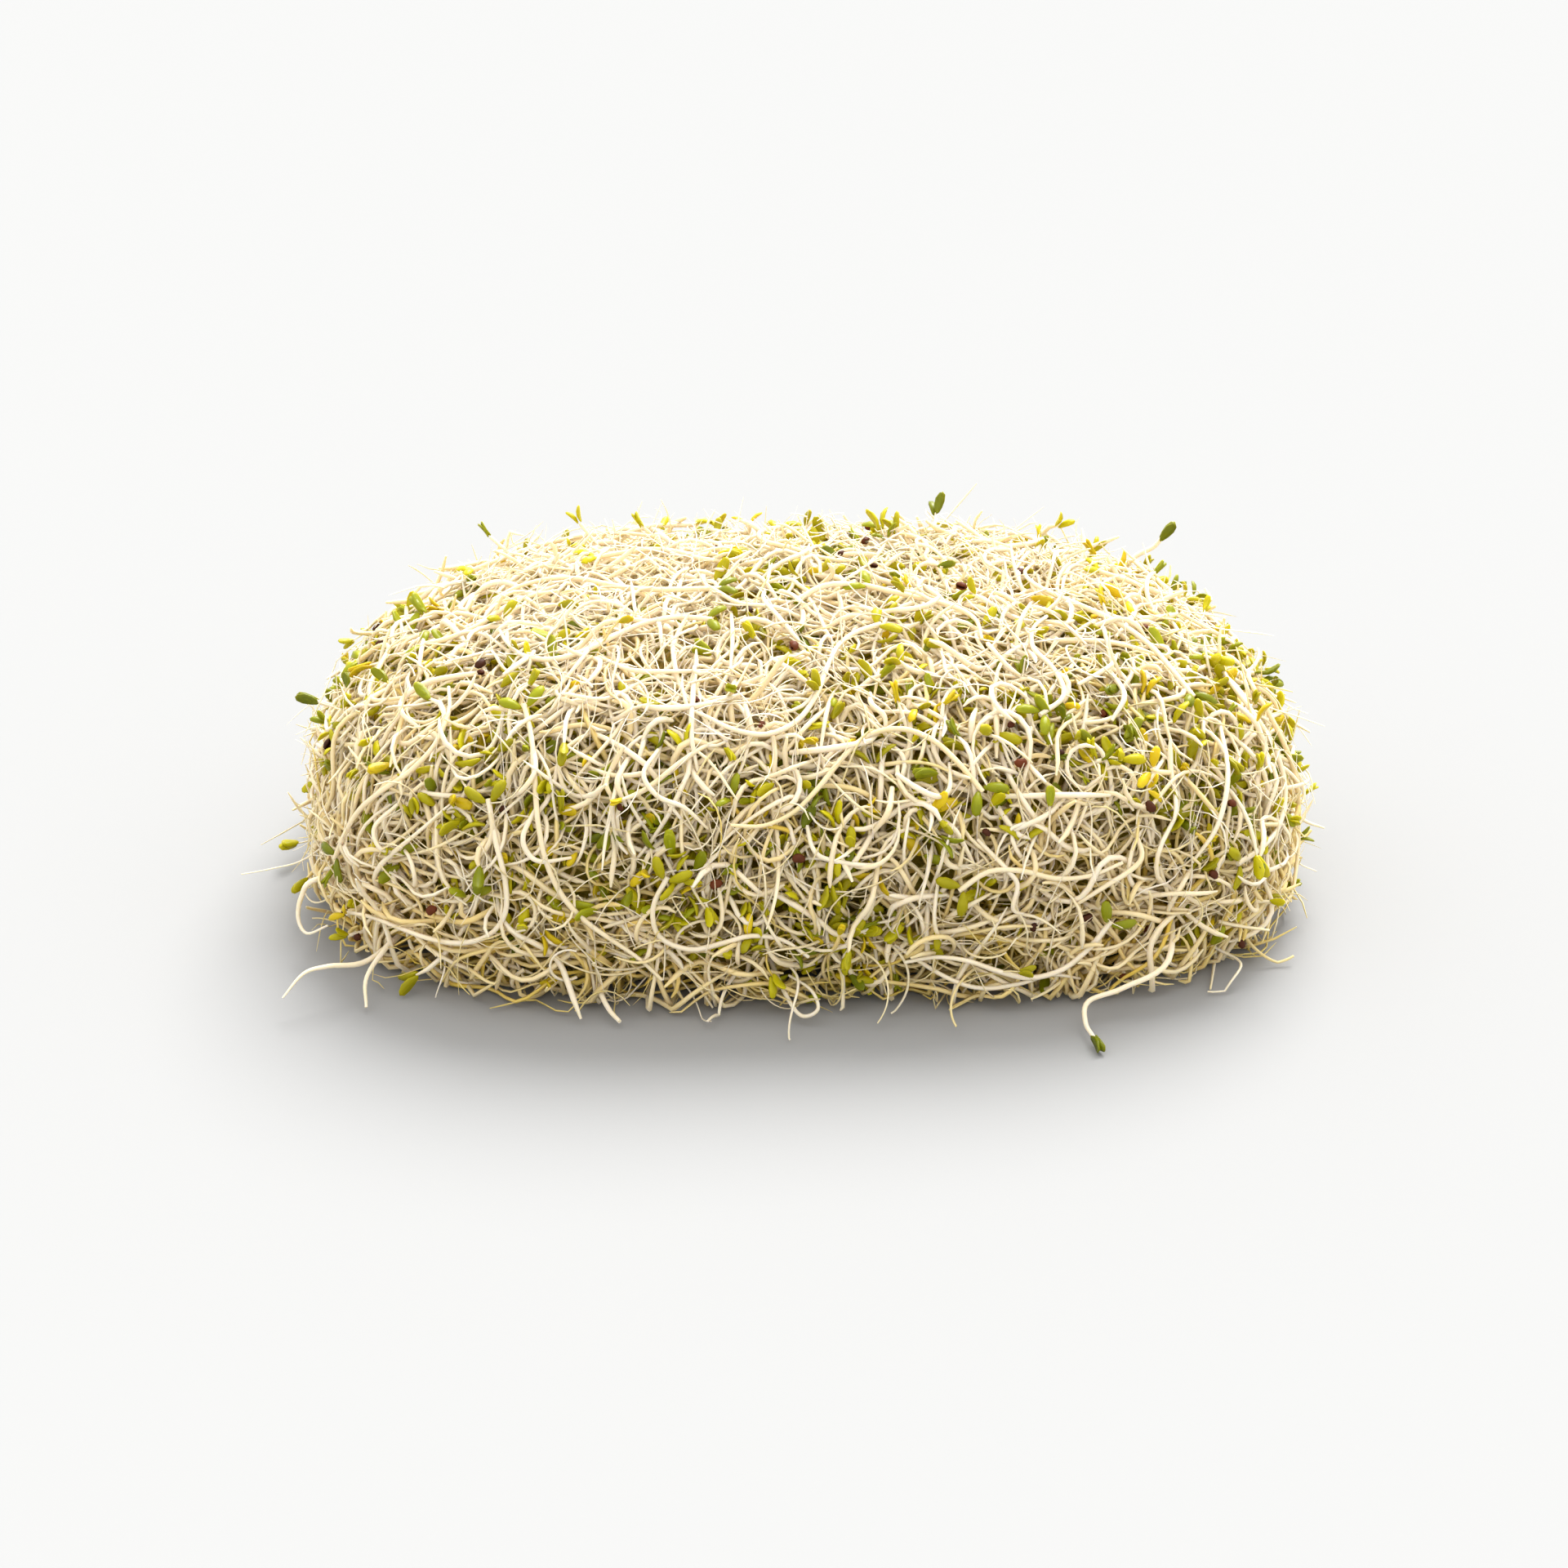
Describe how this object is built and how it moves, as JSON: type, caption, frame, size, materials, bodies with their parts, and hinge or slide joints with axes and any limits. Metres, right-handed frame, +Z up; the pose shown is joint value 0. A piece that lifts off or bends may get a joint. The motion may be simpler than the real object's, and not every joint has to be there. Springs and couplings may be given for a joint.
{
  "type": "alfalfa sprouts",
  "caption": "Pressed pack of tangled white sprouts with small green seed leaves and brown seed hulls, in the rounded block shape of its tray.",
  "frame": {"origin": "on the surface that the pack rests on, under the middle of the pack", "axes": "+Z up, +X along the pack's length to the viewer's right, -Y towards the viewer"},
  "size_m": [0.1457, 0.1069, 0.0478],
  "materials": {
    "sprout_stem": "satin",
    "young_leaf": "satin",
    "seed_hull": "satin"
  },
  "bodies": {
    "root": {"loose_sprout_01": "young_leaf", "loose_sprout_02": "young_leaf", "loose_sprout_03": "young_leaf", "loose_sprout_04": "young_leaf", "loose_sprout_05": "young_leaf", "loose_sprout_06": "young_leaf", "loose_sprout_07": "young_leaf", "loose_sprout_08": "young_leaf", "loose_sprout_09": "young_leaf", "loose_sprout_10": "young_leaf", "loose_sprout_11": "young_leaf", "loose_sprout_12": "young_leaf", "loose_sprout_13": "young_leaf", "loose_sprout_14": "young_leaf", "loose_sprout_15": "young_leaf", "loose_sprout_16": "young_leaf", "loose_sprout_17": "young_leaf", "loose_sprout_18": "young_leaf", "loose_sprout_19": "young_leaf", "loose_sprout_20": "young_leaf", "loose_sprout_21": "young_leaf", "loose_sprout_22": "young_leaf", "loose_sprout_23": "young_leaf", "loose_sprout_24": "young_leaf", "loose_sprout_25": "young_leaf", "loose_sprout_26": "young_leaf", "loose_sprout_27": "young_leaf", "loose_sprout_28": "young_leaf", "loose_sprout_29": "young_leaf", "loose_sprout_30": "young_leaf", "loose_sprout_31": "young_leaf", "loose_sprout_32": "young_leaf", "loose_sprout_33": "young_leaf", "loose_sprout_34": "young_leaf", "loose_sprout_35": "young_leaf", "loose_sprout_36": "young_leaf", "loose_sprout_37": "young_leaf", "loose_sprout_38": "young_leaf", "seed_hull_01": "seed_hull", "seed_hull_02": "seed_hull", "seed_hull_03": "seed_hull", "seed_hull_04": "seed_hull", "seed_hull_05": "seed_hull", "seed_hull_06": "seed_hull", "seed_hull_07": "seed_hull", "seed_hull_08": "seed_hull", "seed_hull_09": "seed_hull", "seed_hull_10": "seed_hull", "seed_hull_11": "seed_hull", "seed_hull_12": "seed_hull", "seed_hull_13": "seed_hull", "seed_hull_14": "seed_hull", "seed_hull_15": "seed_hull", "seed_hull_16": "seed_hull", "sprout_mat": "sprout_stem"}
  },
  "joints": []
}
